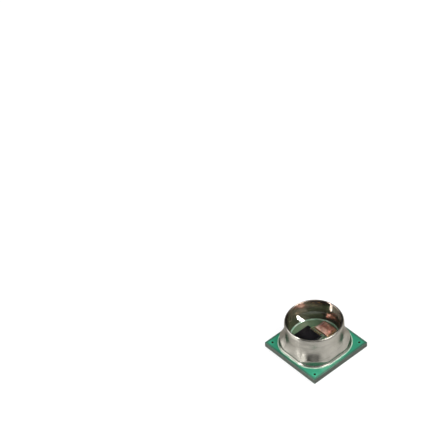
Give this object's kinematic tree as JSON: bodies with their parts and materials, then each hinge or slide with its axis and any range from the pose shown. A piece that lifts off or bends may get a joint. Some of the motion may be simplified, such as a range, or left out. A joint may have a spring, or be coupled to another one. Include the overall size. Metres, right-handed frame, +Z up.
{
  "type": "piezoresistive pressure sensor",
  "caption": "Surface-mount pressure sensor: square green board with an open steel port, clear gel inside over a silicon pressure die and a signal-conditioning die",
  "frame": {"origin": "middle of the square board, on the plane of the solder lands", "axes": "+Z up out of the port, X and Y along the board's edges"},
  "size_m": [0.005, 0.005, 0.0025],
  "materials": {
    "laminate": "matt",
    "solder_mask": "gloss",
    "gold_plating": "satin",
    "drawn_steel": "satin",
    "pale_adhesive": "gloss",
    "die_attach": "satin",
    "silicon": "polished",
    "constraint_wafer": "satin",
    "circuit_die": "polished",
    "clear_gel": "wet"
  },
  "bodies": {
    "root": {"asic_adhesive": "die_attach", "asic_die": "circuit_die", "bond_finger_1": "gold_plating", "bond_finger_2": "gold_plating", "bond_finger_3": "gold_plating", "bond_finger_4": "gold_plating", "bond_finger_5": "gold_plating", "bond_finger_6": "gold_plating", "gel": "clear_gel", "land_01": "gold_plating", "land_02": "gold_plating", "land_03": "gold_plating", "land_04": "gold_plating", "land_05": "gold_plating", "land_06": "gold_plating", "land_07": "gold_plating", "land_08": "gold_plating", "land_09": "gold_plating", "land_10": "gold_plating", "land_11": "gold_plating", "land_12": "gold_plating", "lead_wire_1": "gold_plating", "lead_wire_2": "gold_plating", "lead_wire_3": "gold_plating", "lead_wire_4": "gold_plating", "lead_wire_5": "gold_plating", "lead_wire_6": "gold_plating", "port_ring": "drawn_steel", "ring_adhesive": "pale_adhesive", "sense_adhesive": "die_attach", "sense_base": "constraint_wafer", "sense_die": "silicon", "sense_wire_1": "gold_plating", "sense_wire_2": "gold_plating", "sense_wire_3": "gold_plating", "sense_wire_4": "gold_plating", "sense_wire_5": "gold_plating", "sense_wire_6": "gold_plating", "solder_mask_bottom": "solder_mask", "solder_mask_top": "solder_mask", "substrate_core": "laminate", "via_barrel_1": "gold_plating", "via_barrel_2": "gold_plating", "via_barrel_3": "gold_plating", "via_barrel_4": "gold_plating"}
  },
  "joints": []
}
